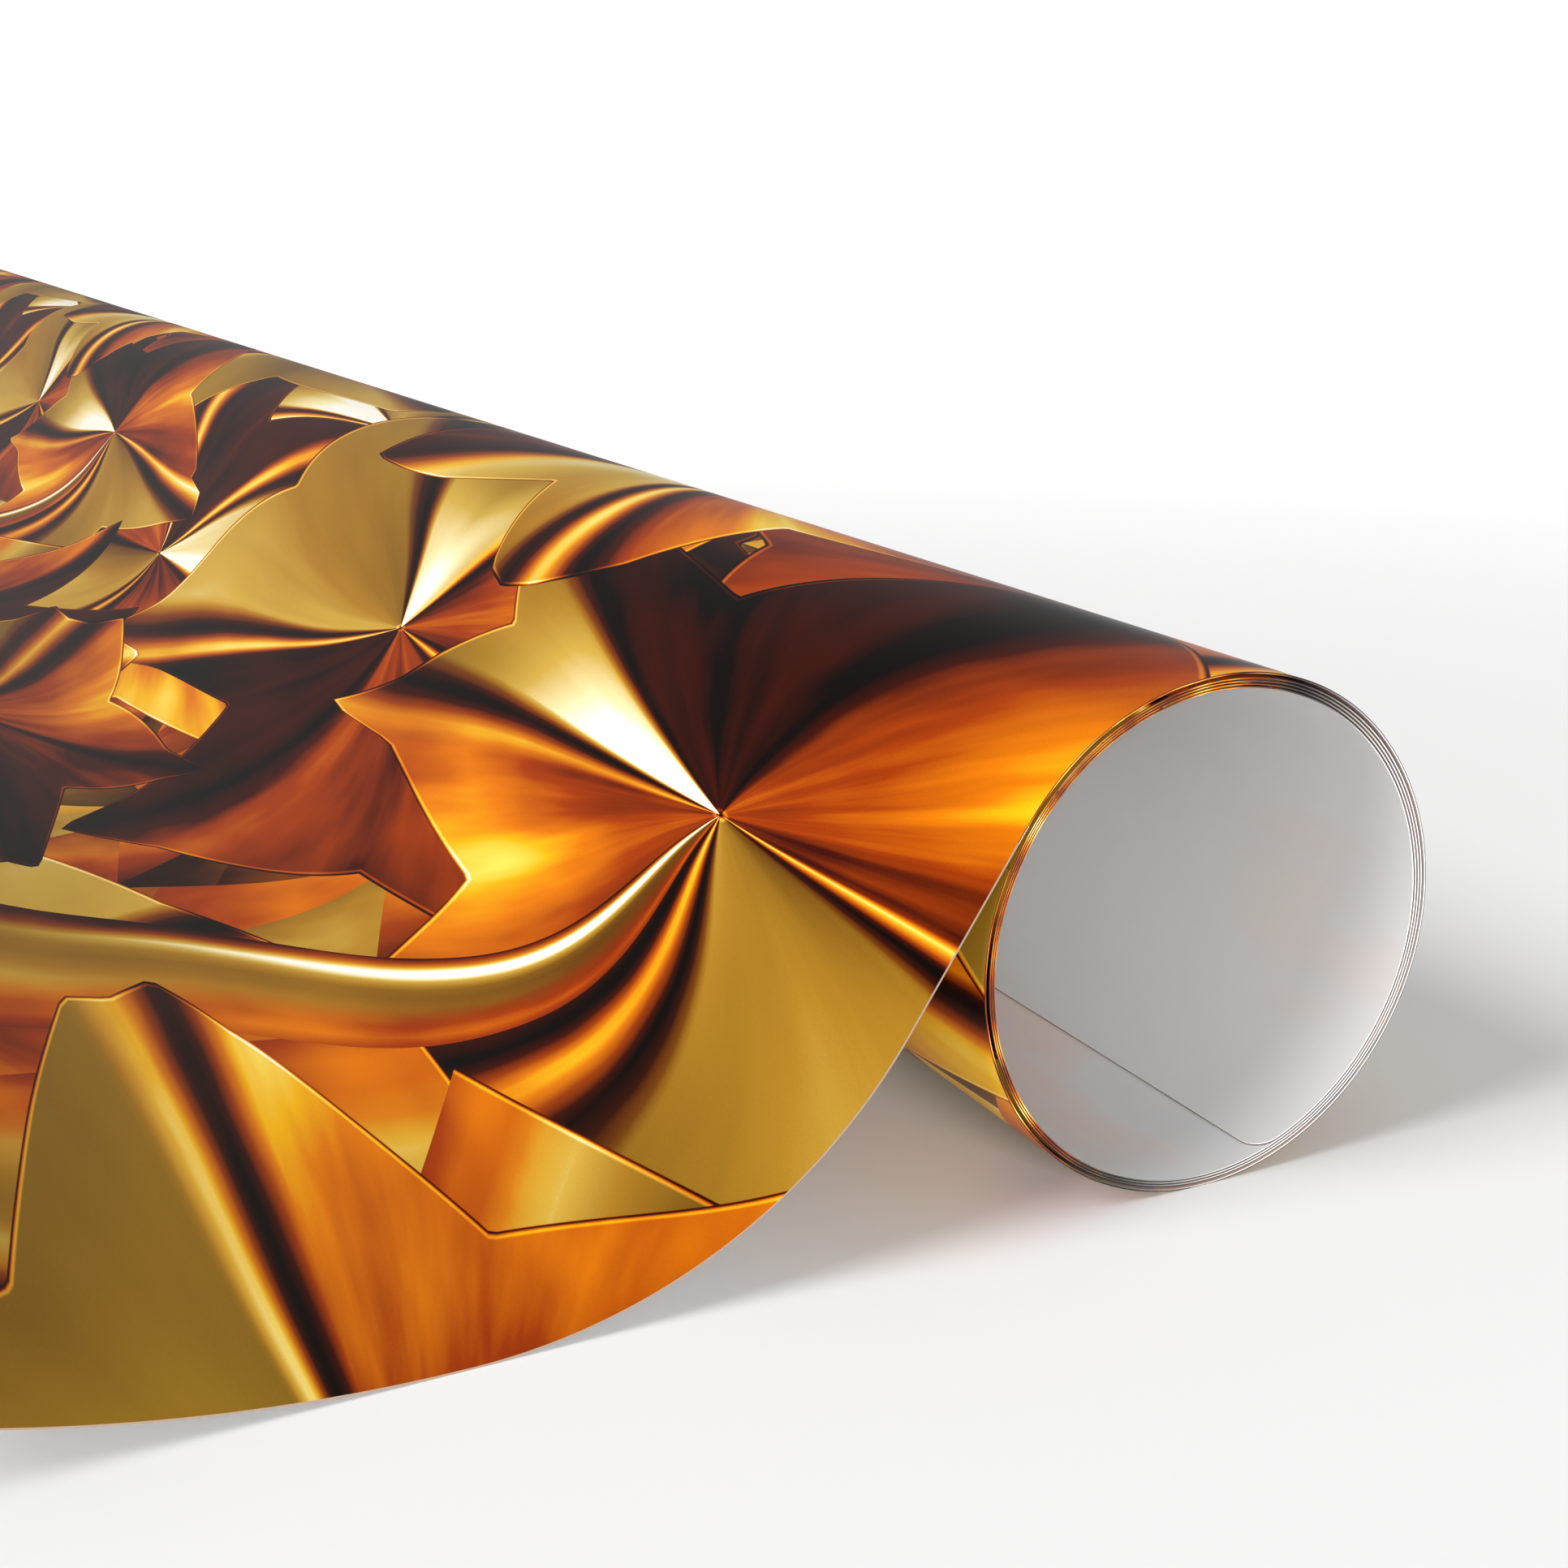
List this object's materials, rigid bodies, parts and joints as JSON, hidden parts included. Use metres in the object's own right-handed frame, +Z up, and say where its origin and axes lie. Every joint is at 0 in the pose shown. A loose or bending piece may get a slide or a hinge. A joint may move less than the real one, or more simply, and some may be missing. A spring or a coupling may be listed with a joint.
{
  "type": "wrapping paper roll",
  "caption": "Coreless roll of metallised gift wrap, partly unrolled: the roll turns, the sheet draws off over the top and its curled end lifts.",
  "frame": {"origin": "on the roll's axis, halfway along it", "axes": "+X along the roll's axis, -Y the way the sheet is drawn off, +Z up; the table is at about -Z one roll radius"},
  "size_m": [0.762, 0.1522, 0.0399],
  "materials": {
    "white_paper": "gloss",
    "gold_film": "gloss"
  },
  "bodies": {
    "outer_wrap": {"outer_wrap_paper": "white_paper", "outer_wrap_film": "gold_film", "drape_paper": "white_paper", "drape_film": "gold_film"},
    "wound_roll": {"turn_1_paper": "white_paper", "turn_1_film": "gold_film", "turn_2_paper": "white_paper", "turn_2_film": "gold_film", "turn_3_paper": "white_paper", "turn_3_film": "gold_film", "turn_4_paper": "white_paper", "turn_4_film": "gold_film"},
    "laid_strip": {"laid_strip_paper": "white_paper", "laid_strip_film": "gold_film"},
    "leading_end": {"leading_end_paper": "white_paper", "leading_end_film": "gold_film"}
  },
  "joints": [
    {"name": "roll_spin", "type": "hinge", "parent": "outer_wrap", "child": "wound_roll", "pos_m": [0, 0, 0], "axis": [1, 0, 0], "range_deg": [-45, 360]},
    {"name": "sheet_draw", "type": "slide", "parent": "outer_wrap", "child": "laid_strip", "axis": [0, -1, 0], "range_m": [-0.016, 0.123], "deforming": ["drape_paper", "drape_film"]},
    {"name": "end_lift", "type": "hinge", "parent": "laid_strip", "child": "leading_end", "pos_m": [0, -0.06513, -0.01948], "axis": [-1, 0, 0], "range_deg": [0, 70]}
  ],
  "couplings": [
    {"joint": "sheet_draw", "follows": "roll_spin", "m_per_rad": 0.0195}
  ]
}
